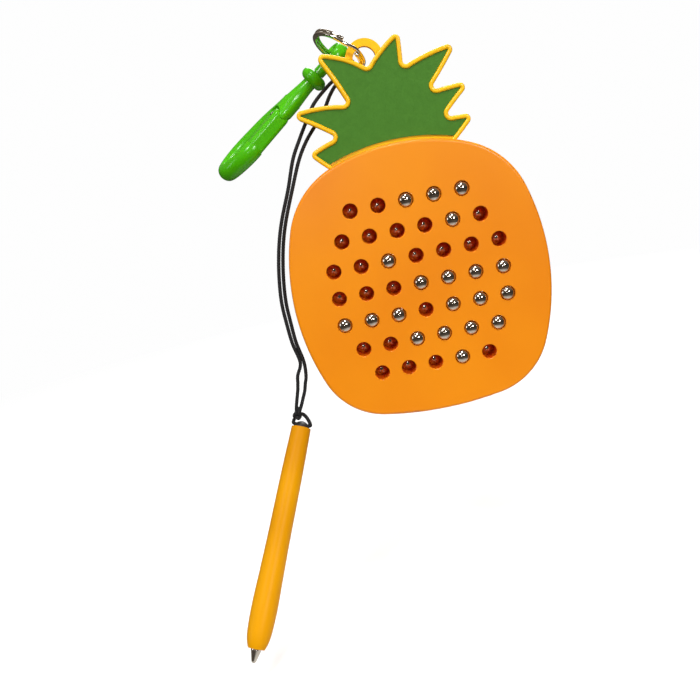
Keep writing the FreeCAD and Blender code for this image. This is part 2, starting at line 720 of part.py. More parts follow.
def make_stylus_barrel():
    """A slim barrel that swells towards the lower third and closes in at the mouth."""
    body = new_body("stylus_barrel", stylus_placement())
    length = size("BarrelLength")
    belly = size("BarrelBellyRadius")
    top = size("BarrelTopRadius")
    mouth = size("BarrelMouthRadius")
    profile = new_sketch(body, "BarrelProfile")
    curve = spline([(top, 0, 0), (0.8 * belly, -0.055 * length, 0), (0.862 * belly, -0.25 * length, 0),
                    (0.888 * belly, -0.47 * length, 0), (0.955 * belly, -0.69 * length, 0),
                    (belly, -0.84 * length, 0), (0.96 * belly, -0.91 * length, 0),
                    (0.8 * belly, -0.975 * length, 0), (mouth, -length, 0)])
    profile.addGeometry([curve, Part.LineSegment(Vector(mouth, -length, 0), Vector(0, -length, 0)),
                         Part.LineSegment(Vector(0, -length, 0), Vector(0, 0, 0)),
                         Part.LineSegment(Vector(0, 0, 0), Vector(top, 0, 0))], False)
    revolve(body, profile)
    plug_bore = size("PlugRadius") - 0.4
    tip_bore = size("TipBaseRadius")
    magnet = size("MagnetRadius")
    stem = size("PlugStem")
    seat = size("TipSeat")
    bore = polygon_sketch(body, "BarrelBore", [
        (0, 0.5), (plug_bore, 0.5), (plug_bore, -stem), (magnet, -stem), (magnet, -length + seat),
        (tip_bore, -length + seat), (tip_bore, -length - 0.5), (0, -length - 0.5)])
    revolve(body, bore, "PartDesign::Groove")
    return body


def make_stylus_tip():
    """The polished steel cone with its shank in the barrel's mouth and a ball nose."""
    body = new_body("stylus_tip", stylus_placement())
    length = size("BarrelLength")
    shank = size("TipBaseRadius") - 0.02
    nose = size("TipNoseRadius")
    seat = -length + size("TipSeat") - size("SeatGap")
    base = Vector(shank, -length - 0.3, 0)
    centre = Vector(0, -length - size("TipLength") + nose, 0)
    shoulder = touch_point(centre, nose, base, -1)
    end = centre - Vector(0, nose, 0)
    cheek = on_circle(centre, nose, (shoulder + end) * 0.5)
    profile = new_sketch(body, "TipProfile")
    profile.addGeometry([
        Part.LineSegment(Vector(0, seat, 0), Vector(shank, seat, 0)),
        Part.LineSegment(Vector(shank, seat, 0), base),
        Part.LineSegment(base, shoulder),
        Part.Arc(shoulder, cheek, end),
        Part.LineSegment(end, Vector(0, seat, 0))], False)
    revolve(body, profile)
    return body


def make_stylus_magnet():
    magnet = doc.addObject("Part::Cylinder", "stylus_magnet")
    bind(magnet, Radius="<MagnetRadius> - 0.02", Height="<MagnetLength>")
    local = Placement(Vector(0, 0, -size("BarrelLength") + size("TipSeat") + size("SeatGap")), Rotation())
    magnet.Placement = stylus_placement() * local


def make_stylus_end_plug():
    """The black plug that closes the barrel's top, domed, with a cross hole for the cord."""
    body = new_body("stylus_end_plug", stylus_placement())
    radius = size("PlugRadius")
    height = size("PlugHeight")
    shank = radius - 0.42
    stem = -size("PlugStem") + 0.1
    rim = Vector(radius, 0.02, 0)
    top = Vector(0, height, 0)
    dome_radius = (radius ** 2 + (height - rim.y) ** 2) / (2 * (height - rim.y))
    dome_centre = Vector(0, height - dome_radius, 0)
    profile = new_sketch(body, "PlugProfile")
    profile.addGeometry([
        Part.LineSegment(Vector(0, stem, 0), Vector(shank, stem, 0)),
        Part.LineSegment(Vector(shank, stem, 0), Vector(shank, rim.y, 0)),
        Part.LineSegment(Vector(shank, rim.y, 0), rim),
        Part.Arc(rim, on_circle(dome_centre, dome_radius, (rim + top) * 0.5), top),
        Part.LineSegment(top, Vector(0, stem, 0))], False)
    revolve(body, profile)
    hole = circles_sketch(body, "CordHole", [(0, size("PlugHole") + 0.12)], "<PlugHole>", 0.0, "YZ_Plane")
    pocket(body, hole, "4 * <PlugRadius>", Midplane=True, Reversed=False)
    return body


# ---------------------------------------------------------------- cord
ROUND_CORNERS = 2   # makePipeShell rounds the sweep at each corner of its path
CORD_UPPER_PATH = ((-7.6, 2.8, 49.6), (-11.1, 2.4, 48.4), (-14.8, 1.6, 44.6), (-20.6, 0.0, 37.4), (-25.9, -1.5, 26.8))
CORD_MIDDLE_PATH = ((-25.9, -1.5, 26.8), (-30.9, -2.5, 14.0), (-33.1, -3.5, -2.0), (-31.8, -4.0, -14.1))
CORD_LOWER_PATH = ((-31.8, -4.0, -14.1), (-33.5, -4.0, -20.8), (-35.6, -4.0, -26.8))


def tube(label, points, radius, cap_start, cap_end):
    """A round tube along a smooth curve, with a ball on the ends that cap_start and cap_end ask for."""
    curve = Part.BSplineCurve()
    curve.interpolate([Vector(*point) for point in points])
    begin = curve.value(curve.FirstParameter)
    section = Part.makeCircle(radius, begin, curve.tangent(curve.FirstParameter)[0])
    solid = Part.Wire([curve.toShape()]).makePipeShell([Part.Wire([section])], True, True)
    balls = []
    if cap_start:
        balls.append(Part.makeSphere(radius, begin))
    if cap_end:
        balls.append(Part.makeSphere(radius, curve.value(curve.LastParameter)))
    piece = doc.addObject("Part::Feature", label)
    piece.Shape = solid.fuse(balls).removeSplitter() if balls else solid
    return piece


def shortened(points, back_off):
    """The same path with its first point moved along it by back_off, to leave a joint's gap."""
    first = Vector(*points[0])
    second = Vector(*points[1])
    moved = first + (second - first).normalize() * back_off
    return (tuple(moved),) + tuple(points[1:])


def make_cord():
    radius = size("CordPairRadius")
    step = 2 * radius + size("CordJointGap")
    tube("cord_upper", CORD_UPPER_PATH, radius, True, True)
    tube("cord_middle", shortened(CORD_MIDDLE_PATH, step), radius, True, True)
    lower_end = CORD_LOWER_PATH[:-1] + (shortened(CORD_LOWER_PATH[::-1], size("KnotRadius") + 0.05)[0],)
    tube("cord_lower", shortened(lower_end, step), radius, True, False)


def make_cord_knot():
    """The knot above the stylus and the small loop through the end plug's cross hole."""
    place = stylus_placement()
    level = size("PlugHole") + 0.12
    reach = size("PlugRadius") + 0.6
    rise = 1.5
    knot = place.inverse().multVec(Vector(*CORD_LOWER_PATH[-1]))
    route = [knot, Vector(reach, -0.5, level + rise), Vector(reach, 0, level), Vector(-reach, 0, level),
             Vector(-reach, -0.5, level + rise), knot + Vector(-0.3, 0, 0)]
    section = Part.Wire([Part.makeCircle(size("CordRadius"), route[0], route[1] - route[0])])
    loop = Part.makePolygon(route).makePipeShell([section], True, False, ROUND_CORNERS)
    piece = doc.addObject("Part::Feature", "cord_knot")
    piece.Shape = loop.fuse(Part.makeSphere(size("KnotRadius"), knot))
    piece.Placement = place


# ---------------------------------------------------------------- build and write
make_front_shell()
make_back_shell()
make_crown_inlay()
make_beads()
make_split_ring()
make_clasp_body()
make_swivel_bail()
make_clasp_gate()
make_gate_pin()
make_gate_spring()
make_stylus_barrel()
make_stylus_tip()
make_stylus_magnet()
make_stylus_end_plug()
make_cord()
make_cord_knot()
doc.recompute()

NODES = ["front_shell", "back_shell", "crown_inlay", "split_ring", "clasp_body", "swivel_bail", "clasp_gate",
         "gate_pin", "gate_spring", "stylus_barrel", "stylus_tip", "stylus_magnet", "stylus_end_plug",
         "cord_upper", "cord_middle", "cord_lower", "cord_knot"]
NODES += [f"bead_r{row}c{column}" for row, column, x, z in bead_spots()]

problems = []
for obj in doc.Objects:
    if any(word in obj.State for word in ("Invalid", "Error")):
        problems.append(f"{obj.Name}: {obj.State}")
pieces = {obj.Label: obj for obj in doc.Objects if obj.Label in NODES}
for node in NODES:
    shape = pieces[node].Shape
    if shape.isNull() or not shape.isValid() or shape.Volume <= 0 or len(shape.Solids) != 1:
        problems.append(f"{node}: null {shape.isNull()}, valid {shape.isValid()}, "
                        f"volume {shape.Volume:.3f}, solids {len(shape.Solids)}")
if problems:
    raise SystemExit("\n".join(problems))
for node in NODES:
    pieces[node].Shape.exportStep(f"parts/{node}.step")
print(len(NODES), "nodes written")
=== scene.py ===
"""Looks of a pineapple-shaped magnetic bead board on a keychain clasp, with its stylus on a cord.

Everything is in metres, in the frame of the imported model: +X right, +Z up, the beads face -Y.
Sizes below are written in millimetres and turned into metres with MM.
"""

import json
import math

import bpy
import numpy as np
from mathutils import Matrix, Vector


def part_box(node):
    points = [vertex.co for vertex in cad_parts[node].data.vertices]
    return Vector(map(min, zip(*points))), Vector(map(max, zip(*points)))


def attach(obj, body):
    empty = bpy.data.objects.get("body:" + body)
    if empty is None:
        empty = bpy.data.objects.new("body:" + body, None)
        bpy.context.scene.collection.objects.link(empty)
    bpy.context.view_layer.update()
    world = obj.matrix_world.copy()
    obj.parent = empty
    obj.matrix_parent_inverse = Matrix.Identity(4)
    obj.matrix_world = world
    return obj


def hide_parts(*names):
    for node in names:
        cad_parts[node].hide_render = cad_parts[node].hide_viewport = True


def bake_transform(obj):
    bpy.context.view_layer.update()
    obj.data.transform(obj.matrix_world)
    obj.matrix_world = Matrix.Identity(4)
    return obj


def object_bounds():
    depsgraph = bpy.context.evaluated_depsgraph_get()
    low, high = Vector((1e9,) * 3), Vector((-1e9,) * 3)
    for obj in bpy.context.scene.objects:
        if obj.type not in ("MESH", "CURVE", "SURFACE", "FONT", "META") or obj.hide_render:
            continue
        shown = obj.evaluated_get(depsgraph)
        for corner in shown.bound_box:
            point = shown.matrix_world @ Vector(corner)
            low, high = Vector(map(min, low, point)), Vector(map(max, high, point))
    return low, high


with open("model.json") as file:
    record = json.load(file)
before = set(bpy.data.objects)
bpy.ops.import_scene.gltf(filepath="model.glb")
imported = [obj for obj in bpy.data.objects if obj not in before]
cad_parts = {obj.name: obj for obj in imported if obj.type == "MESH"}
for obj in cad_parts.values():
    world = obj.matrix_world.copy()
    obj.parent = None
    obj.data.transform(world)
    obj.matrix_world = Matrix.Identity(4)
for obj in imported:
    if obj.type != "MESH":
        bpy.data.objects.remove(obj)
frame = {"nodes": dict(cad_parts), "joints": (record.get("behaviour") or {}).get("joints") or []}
cad_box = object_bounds()

MM = 0.001
TAU = 2 * math.pi
BACK = Vector((0, 1, 0))

# ---------------------------------------------------------------- camera and light settings
CAMERA_PLACE = Vector((-11.6, -202.7, 32.4)) * MM
CAMERA_YAW = 2.34       # degrees, turned to the left of straight at the board
CAMERA_PITCH = -13.0    # looking down
CAMERA_ROLL = -11.83
CAMERA_LENS = 43.1      # on a 36 mm sensor
FLOOR_GAP = 6 * MM
BACKDROP = (0.99, 0.99, 0.99, 1)

# ---------------------------------------------------------------- sizes of the new pieces
STRAND_RADIUS = 0.44 * MM
STRAND_SIDES = 16
STRAND_STEP = 0.16 * MM
STRAND_TIP = 0.35       # a tapered end's share of the full radius
STRAND_SWELL = 0.32     # and how much of it each step adds
BRAID_PITCH = 1.3 * MM
BRAID_DEPTH = 0.035 * MM
KNOT_RADIUS = 1.5 * MM

BLACK = (0.008, 0.008, 0.009)


def paint(red, green, blue):
    """A colour given as it looks on a screen, 0 to 255, as the linear colour that shaders use."""
    def linear(value):
        share = value / 255
        return share / 12.92 if share <= 0.04045 else ((share + 0.055) / 1.055) ** 2.4
    return (linear(red), linear(green), linear(blue), 1.0)


# ---------------------------------------------------------------- node helpers
class Shader:
    """A material's node tree: add() places a node and wires its inputs, values or sockets."""

    def __init__(self, name):
        self.material = bpy.data.materials.new(name)
        self.material.use_nodes = True
        self.tree = self.material.node_tree
        self.surface = self.tree.nodes["Principled BSDF"]
        self.place = self.add("ShaderNodeTexCoord").outputs["Object"]

    def add(self, kind, inputs=None, **settings):
        node = self.tree.nodes.new(kind)
        for name, value in settings.items():
            setattr(node, name, value)
        for name, value in (inputs or {}).items():
            self.wire(node.inputs[name], value)
        return node

    def wire(self, socket, value):
        if isinstance(value, bpy.types.NodeSocket):
            self.tree.links.new(value, socket)
        else:
            socket.default_value = value

    def noise(self, size, detail=2.0, distortion=0.0, place=None):
        """Soft noise from 0 to 1 whose blobs are about size metres across."""
        node = self.add("ShaderNodeTexNoise", {"Vector": place or self.place, "Scale": 1 / size,
                                               "Detail": detail, "Distortion": distortion})
        return node.outputs["Fac"]

    def spread(self, value, low, high, start=0.0, end=1.0):
        """value between low and high stretched to run from start to end, and held there outside."""
        node = self.add("ShaderNodeMapRange", {"Value": value, "From Min": low, "From Max": high,
                                               "To Min": start, "To Max": end})
        return node.outputs["Result"]

    def blend(self, share, first, second, mode="MIX"):
        node = self.add("ShaderNodeMix", data_type="RGBA", blend_type=mode)
        self.wire(node.inputs["Factor"], share)
        self.wire(node.inputs[6], first)
        self.wire(node.inputs[7], second)
        return node.outputs[2]

    def sum(self, first, second, operation="ADD"):
        node = self.add("ShaderNodeMath", operation=operation)
        self.wire(node.inputs[0], first)
        self.wire(node.inputs[1], second)
        return node.outputs["Value"]

    def stretched(self, x, y, z):
        """The place with each axis scaled, for marks that run longer one way."""
        mapping = self.add("ShaderNodeMapping", {"Vector": self.place, "Scale": (x, y, z)})
        return mapping.outputs["Vector"]

    def openness(self, reach):
        """1 on an open face, falling towards 0 in a hole or corner narrower than reach."""
        node = self.add("ShaderNodeAmbientOcclusion", {"Distance": reach}, samples=3,
                        only_local=True)
        return node.outputs["AO"]

    def bump(self, height, depth, normal=None):
        """A bump whose height of 1 stands depth metres proud."""
        inputs = {"Height": height, "Distance": depth, "Strength": 1.0}
        if normal is not None:
            inputs["Normal"] = normal
        return self.add("ShaderNodeBump", inputs).outputs["Normal"]

    def finish(self, **inputs):
        """Set the surface's inputs by name, with _ for a space."""
        for name, value in inputs.items():
            self.wire(self.surface.inputs[name.replace("_", " ")], value)
        return self.material


# ---------------------------------------------------------------- plastics
PAINTED_WELL_GLOW = 0.22   # strength of the painted glow, an emission that lights the wells where there is no lamp


def moulded_plastic(name, light, dark, roughness, glow=0.0, grain=0.003, haze=0.012, painted_shade_and_glow=None,
                    shine=0.5):
    """Moulded plastic: colour drift, fine grain, faint waves and scuffs, and painted shade and a painted
    glow in holes.
    """
    shader = Shader(name)
    drift = shader.noise(22 * MM, 1.0)
    colour = shader.blend(shader.spread(drift, 0.35, 0.65), light, dark)
    specks = shader.noise(0.5 * MM, 3.0)
    colour = shader.blend(shader.spread(specks, 0.35, 0.75, 0.0, 0.10), colour, dark)
    if painted_shade_and_glow is not None:
        # Painted shade: where ambient occlusion closes in, in holes and corners, the colour turns to the
        # deep red of shade in the wells.
        painted_shade_and_glow_share = shader.spread(shader.openness(2.6 * MM), 0.55, 0.95, 1.0, 0.0)
        colour = shader.blend(painted_shade_and_glow_share, colour, painted_shade_and_glow)
        # Painted glow: the wells give off their own light in the painted shade colour.
        painted_glow_strength = shader.sum(painted_shade_and_glow_share, PAINTED_WELL_GLOW, "MULTIPLY")
        shader.finish(Emission_Color=painted_shade_and_glow, Emission_Strength=painted_glow_strength)
    scuffs = shader.noise(1.4 * MM, 5.0, 1.5, shader.stretched(1.0, 1.0, 0.35))
    rough = shader.sum(shader.spread(scuffs, 0.45, 0.8, 0.0, haze * 2),
                       shader.spread(drift, 0.3, 0.7, -haze, haze))
    rough = shader.sum(rough, roughness)
    fine = shader.bump(shader.noise(0.55 * MM, 1.0), grain * MM)
    waves = shader.bump(shader.noise(4.5 * MM, 1.0), 3 * grain * MM, fine)
    shader.finish(Base_Color=colour, Roughness=rough, Normal=waves, IOR=1.49, Specular_IOR_Level=shine)
    if glow > 0:
        shader.finish(Subsurface_Weight=glow, Subsurface_Radius=(1.0, 0.35, 0.08),
                      Subsurface_Scale=0.8 * MM)
    return shader.material


def leaf_panel():
    """Matt printed leaf green with a mottled, paper-like surface."""
    shader = Shader("leaf_green_finish")
    cloud = shader.noise(1.6 * MM, 6.0, 0.6)
    fibre = shader.noise(0.45 * MM, 4.0, 0.8)
    colour = shader.blend(shader.spread(cloud, 0.30, 0.70), paint(73, 128, 37), paint(67, 120, 32))
    colour = shader.blend(shader.spread(fibre, 0.45, 0.75, 0.0, 0.35), colour, paint(58, 107, 28))
    rough = shader.spread(fibre, 0.3, 0.7, 0.52, 0.70)
    bumps = shader.bump(fibre, 0.02 * MM, shader.bump(cloud, 0.05 * MM))
    return shader.finish(Base_Color=colour, Roughness=rough, Normal=bumps, Specular_IOR_Level=0.2)


# ---------------------------------------------------------------- metals
METAL_HAZE = 0.03     # how much rougher scratches and clouding each make the metal


def bright_metal(name, light, dark, roughness, scratch_size=0.5, scratch_depth=0.0004,
                 cloud_size=1.5):
    """Polished metal with faint clouding, hairline scratches and a little colour drift."""
    shader = Shader(name)
    cloud = shader.noise(cloud_size * MM, 3.0)
    hair = shader.noise(scratch_size * MM, 1.5, 0.2, shader.stretched(1.0, 1.0, 0.2))
    colour = shader.blend(shader.spread(cloud, 0.3, 0.7), light, dark)
    rough = shader.sum(shader.spread(hair, 0.5, 0.75, 0.0, METAL_HAZE),
                       shader.spread(cloud, 0.3, 0.7, 0.0, METAL_HAZE))
    rough = shader.sum(rough, roughness)
    return shader.finish(Base_Color=colour, Roughness=rough, Metallic=1.0, IOR=2.5,
                         Normal=shader.bump(hair, scratch_depth * MM))


# ---------------------------------------------------------------- black parts
def black_rubbery():
    shader = Shader("black_plug_finish")
    cloud = shader.noise(0.8 * MM, 3.0)
    colour = shader.blend(cloud, (0.012, 0.012, 0.013, 1), (0.030, 0.029, 0.028, 1))
    return shader.finish(Base_Color=colour, Roughness=shader.spread(cloud, 0.3, 0.7, 0.32, 0.5),
                         Normal=shader.bump(shader.noise(0.18 * MM), 0.01 * MM))


def braided_cord():
    """Black braided thread: u runs once round the strand, v along it by one for each braid pitch."""
    shader = Shader("black_cord_finish")
    unrolled = shader.add("ShaderNodeTexCoord").outputs["UV"]
    coordinates = shader.add("ShaderNodeSeparateXYZ", {"Vector": unrolled})
    around = shader.sum(coordinates.outputs["X"], 4 * TAU, "MULTIPLY")
    along = shader.sum(coordinates.outputs["Y"], TAU, "MULTIPLY")
    left = shader.sum(shader.sum(around, along, "ADD"), 0.0, "SINE")
    right = shader.sum(shader.sum(around, along, "SUBTRACT"), 0.0, "SINE")
    crossing = shader.sum(left, right, "MULTIPLY")
    fuzz = shader.noise(0.09 * MM, 3.0)
    colour = shader.blend(shader.spread(crossing, -1.0, 1.0), (*BLACK, 1), (0.022, 0.022, 0.024, 1))
    colour = shader.blend(shader.spread(fuzz, 0.55, 0.8, 0.0, 0.4), colour, (0.04, 0.04, 0.042, 1))
    height = shader.sum(crossing, shader.spread(fuzz, 0.0, 1.0, 0.0, 0.8))
    return shader.finish(Base_Color=colour, Roughness=0.72, Normal=shader.bump(height, 0.03 * MM),
                         Specular_IOR_Level=0.25)


# ---------------------------------------------------------------- finishes on the CAD nodes
FINISHES = {
    # The orange shell's deep red is painted shade and painted glow in its wells and corners.
    "orange_shell": moulded_plastic("orange_shell_finish", paint(245, 146, 14), paint(239, 137, 10),
                                    0.30, painted_shade_and_glow=paint(200, 24, 2), shine=0.4),
    "amber_shell": moulded_plastic("amber_shell_finish", paint(255, 204, 30), paint(250, 190, 16), 0.24,
                                   shine=0.35),
    "leaf_green": leaf_panel(),
    "bead_steel": bright_metal("bead_steel_finish", (0.62, 0.56, 0.49, 1), (0.50, 0.44, 0.38, 1), 0.035,
                               scratch_size=0.6),
    "nickel": bright_metal("nickel_finish", (0.80, 0.77, 0.70, 1), (0.66, 0.62, 0.55, 1), 0.10, 0.9,
                           scratch_depth=0.0001),
    "clasp_green": moulded_plastic("clasp_green_finish", paint(80, 188, 4), paint(68, 170, 2), 0.22,
                                   glow=0.10, grain=0.0015, haze=0.006, shine=0.4),
    "small_steel": bright_metal("small_steel_finish", (0.66, 0.65, 0.63, 1), (0.52, 0.51, 0.49, 1), 0.2),
    "barrel_amber": moulded_plastic("barrel_amber_finish", paint(232, 160, 2), paint(214, 141, 1), 0.38,
                                    shine=0.1),
    "magnet": bright_metal("magnet_finish", (0.60, 0.60, 0.60, 1), (0.45, 0.45, 0.45, 1), 0.3),
    "black_plug": black_rubbery(),
    "black_cord": braided_cord(),
}


def finish_cad_nodes():
    for node in frame["nodes"].values():
        for index, packed in enumerate(node.data.materials):
            slot_name = packed.name.split(".")[0]
            node.data.materials[index] = FINISHES[slot_name]


# ---------------------------------------------------------------- points read from the frame
def joint_place(name):
    joint = next(item for item in frame["joints"] if item["name"] == name)
    return Vector(joint["pos_m"])


def joint_axis(name):
    joint = next(item for item in frame["joints"] if item["name"] == name)
    return Vector(joint["axis"]).normalized()


def middle(node):
    low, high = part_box(node)
    return (low + high) / 2


def tube_centre(node, axis, level):
    """The centre of a CAD tube where it crosses one level of axis 0 (X) or 2 (Z)."""
    mesh = frame["nodes"][node].data
    crossings = []
    for edge in mesh.edges:
        first, second = (mesh.vertices[index].co for index in edge.vertices)
        if (first[axis] - level) * (second[axis] - level) < 0:
            crossings.append(first.lerp(second, (level - first[axis]) / (second[axis] - first[axis])))
    return sum(crossings, Vector()) / len(crossings)


def nearest_point(node, place):
    corners = (vertex.co for vertex in frame["nodes"][node].data.vertices)
    return min(corners, key=lambda corner: (corner - place).length).copy()


# ---------------------------------------------------------------- strands of cord
def smooth_path(points, step):
    """Points every step metres along a smooth curve through the given points."""
    padded = [points[0] * 2 - points[1]] + list(points) + [points[-1] * 2 - points[-2]]
    path = []
    for before, start, end, after in zip(padded, padded[1:], padded[2:], padded[3:]):
        count = max(2, round((end - start).length / step))
        for index in range(count):
            t = index / count
            path.append(((start * 2) + (end - before) * t
                         + (before * 2 - start * 5 + end * 4 - after) * t ** 2
                         + (start * 3 - before - end * 3 + after) * t ** 3) / 2)
    path.append(points[-1].copy())
    return path


def carried_frames(path):
    """A pair of cross directions for each point, carried along the path without twisting."""
    last = len(path) - 1
    tangents = [(path[min(i + 1, last)] - path[max(i - 1, 0)]).normalized() for i in range(last + 1)]
    side = tangents[0].orthogonal().normalized()
    frames = []
    for tangent in tangents:
        side = (side - tangent * side.dot(tangent)).normalized()
        frames.append((side, tangent.cross(side)))
    return frames


def strand(name, path, tapered=True):
    """A round braided strand along a smooth path, with its ends tapered shut if asked."""
    frames = carried_frames(path)
    vertices = []
    travelled = 0.0
    lengths = []
    for index, place in enumerate(path):
        travelled += (place - path[index - 1]).length if index else 0.0
        lengths.append(travelled)
        side, other = frames[index]
        from_end = min(index, len(path) - 1 - index)
        closing = min(1.0, STRAND_TIP + STRAND_SWELL * from_end) if tapered else 1.0
        for k in range(STRAND_SIDES):
            angle = TAU * k / STRAND_SIDES
            turn = TAU * travelled / BRAID_PITCH
            weave = math.sin(4 * angle + turn) * math.sin(4 * angle - turn)
            radius = closing * (STRAND_RADIUS + BRAID_DEPTH * weave)
            vertices.append(place + side * (radius * math.cos(angle))
                            + other * (radius * math.sin(angle)))
    faces = []
    spots = []
    for ring in range(len(path) - 1):
        for k in range(STRAND_SIDES):
            nxt = (k + 1) % STRAND_SIDES
            faces.append((ring * STRAND_SIDES + k, ring * STRAND_SIDES + nxt,
                          (ring + 1) * STRAND_SIDES + nxt, (ring + 1) * STRAND_SIDES + k))
            low, high = lengths[ring] / BRAID_PITCH, lengths[ring + 1] / BRAID_PITCH
            left, right = k / STRAND_SIDES, (k + 1) / STRAND_SIDES
            spots += [(left, low), (right, low), (right, high), (left, high)]
    last = (len(path) - 1) * STRAND_SIDES
    faces.append(tuple(reversed(range(STRAND_SIDES))))
    faces.append(tuple(range(last, last + STRAND_SIDES)))
    spots += [(0.0, 0.0)] * (2 * STRAND_SIDES)
    mesh = bpy.data.meshes.new(name)
    mesh.from_pydata(vertices, [], faces)
    mesh.uv_layers.new(name="weave").data.foreach_set("uv", [value for spot in spots for value in spot])
    mesh.shade_smooth()
    mesh.materials.append(FINISHES["black_cord"])
    piece = bpy.data.objects.new(name, mesh)
    bpy.context.scene.collection.objects.link(piece)
    return piece


def centre_line(node, axis, count):
    """count points down the middle of one CAD tube, spread evenly along axis from its high end."""
    low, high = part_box(node)
    inner = 0.8 * MM
    span = high[axis] - low[axis] - 2 * inner
    levels = [high[axis] - inner - span * index / (count - 1) for index in range(count)]
    return [tube_centre(node, axis, level) for level in levels]


CORD_TOP = joint_place("cord_swing")
CORD_FOLD = joint_place("cord_fold")
CORD_BEND = joint_place("cord_bend")
UPPER_LINE = [CORD_TOP] + centre_line("cord_upper", 0, 8)[1:-1] + [CORD_FOLD]
MIDDLE_LINE = centre_line("cord_middle", 2, 9)[1:-1]
LOWER_LINE = [CORD_BEND] + centre_line("cord_lower", 2, 6)[1:]
KNOT_CENTRE = LOWER_LINE[-1] + (LOWER_LINE[-1] - LOWER_LINE[-2]).normalized() * (KNOT_RADIUS + 0.7 * MM)

# How far apart the two strands run, centre to centre: height, gap in strand radii
SPLAY = ((CORD_TOP.z, 2.0), (CORD_TOP.z - 1.4 * MM, 2.6), (CORD_TOP.z - 5.0 * MM, 6.4),
         (CORD_TOP.z - 14 * MM, 3.4), (CORD_FOLD.z, 2.2), (0.0, 2.4), (CORD_BEND.z, 2.05),
         (CORD_BEND.z - 3.4 * MM, 4.6), (CORD_BEND.z - 6.4 * MM, 4.0), (CORD_BEND.z - 9.2 * MM, 3.3),
         (CORD_BEND.z - 11.4 * MM, 2.5), (KNOT_CENTRE.z, 1.4))


def strand_gap(height):
    """The gap between the strands at one height, eased between the stations of SPLAY."""
    if height >= SPLAY[0][0]:
        return SPLAY[0][1] * STRAND_RADIUS
    for (high, first), (low, second) in zip(SPLAY, SPLAY[1:]):
        if height >= low:
            share = (high - height) / (high - low)
            eased = share * share * (3 - 2 * share)
            return (first + (second - first) * eased) * STRAND_RADIUS
    return SPLAY[-1][1] * STRAND_RADIUS


def offset_line(line, side):
    """The path of one strand: the line moved to one side by half the gap at each height."""
    moved = []
    for index, place in enumerate(line):
        along = line[min(index + 1, len(line) - 1)] - line[max(index - 1, 0)]
        across = along.cross(BACK).normalized()
        moved.append(place + across * (side * strand_gap(place.z) / 2))
    return moved


def make_cord():
    """Two strands from the hitch down to the knot, each in two lengths that meet halfway down."""
    line = UPPER_LINE + MIDDLE_LINE + LOWER_LINE + [KNOT_CENTRE]
    meeting_height = MIDDLE_LINE[len(MIDDLE_LINE) // 2].z
    pieces = []
    for side, label in ((-1, "left"), (1, "right")):
        path = smooth_path(offset_line(line, side), STRAND_STEP)
        cut = next(index for index, place in enumerate(path) if place.z < meeting_height)
        upper = strand(f"cord_strand_upper_{label}", path[:cut + 1], tapered=False)
        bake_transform(upper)
        lower = strand(f"cord_strand_lower_{label}", path[cut:], tapered=False)
        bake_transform(lower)
        pieces += [upper, lower]
    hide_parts("cord_upper", "cord_middle")
    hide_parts("cord_lower")


def make_knot():
    """The overhand knot above the stylus: a tight three-lobed turn, drawn out along the cord."""
    along = (KNOT_CENTRE - LOWER_LINE[-2]).normalized()
    across = along.cross(BACK).normalized()
    front = along.cross(across)
    size = 0.36 * MM
    points = []
    for index in range(25):
        angle = TAU * index / 24
        points.append(KNOT_CENTRE
                      + along * (1.3 * size * (math.cos(angle) - 2 * math.cos(2 * angle)))
                      + across * (0.72 * size * (math.sin(angle) + 2 * math.sin(2 * angle)))
                      - front * (1.7 * size * math.sin(3 * angle)))
    knot = strand("cord_knot_turns", smooth_path(points, STRAND_STEP))
    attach(knot, "cord_low")
    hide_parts("cord_knot")


# The loop below the knot, from its right leg round to its left leg: steps across and up from the
# plug's cross hole, in plug radii
LOOP_SHAPE = ((-0.20, 1.40), (0.34, 1.12), (0.80, 0.64), (1.06, 0.16), (0.72, 0.0), (0.0, 0.0),
              (-0.72, 0.0), (-1.08, 0.14), (-1.06, 0.55), (-0.90, 1.05))


def make_loop():
    """The small loop from the knot through the cross hole of the stylus's end plug."""
    hole = joint_place("stylus_swing")
    across = joint_axis("stylus_swing")
    upwards = (middle("stylus_end_plug") - middle("stylus_tip")).normalized()
    plug_radius = 2 * MM
    legs = [hole + across * (a * plug_radius) + upwards * (u * plug_radius) for a, u in LOOP_SHAPE]
    path = smooth_path([KNOT_CENTRE] + legs + [KNOT_CENTRE - upwards * 0.4 * MM], STRAND_STEP)
    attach(strand("cord_end_loop", path), "cord_low")


# ---------------------------------------------------------------- split ring
RING_SIDES = 20
RING_STEPS = 220
RING_END_SHARE = 0.055    # of a turn, from the crossover to each cut end
RING_SQUARENESS = 0.62    # 1 would be an ellipse, 0 a rectangle


def ring_frame():
    """The CAD split ring's centre, axis, first cross direction, inner and outer radius, and height."""
    places = np.array([vertex.co for vertex in frame["nodes"]["split_ring"].data.vertices], float)
    centre = places.mean(0)
    axis = np.linalg.svd(places - centre, full_matrices=False)[2][2]
    heights = (places - centre) @ axis
    flat = places - centre - np.outer(heights, axis)
    reach = np.linalg.norm(flat, axis=1)
    start = flat[heights < heights.min() + 0.05 * MM].mean(0)
    start /= np.linalg.norm(start)
    height = heights.max() - heights.min()
    return Vector(centre), Vector(axis), Vector(start), reach.min(), reach.max(), height


def rounded_power(value):
    return math.copysign(abs(value) ** RING_SQUARENESS, value)


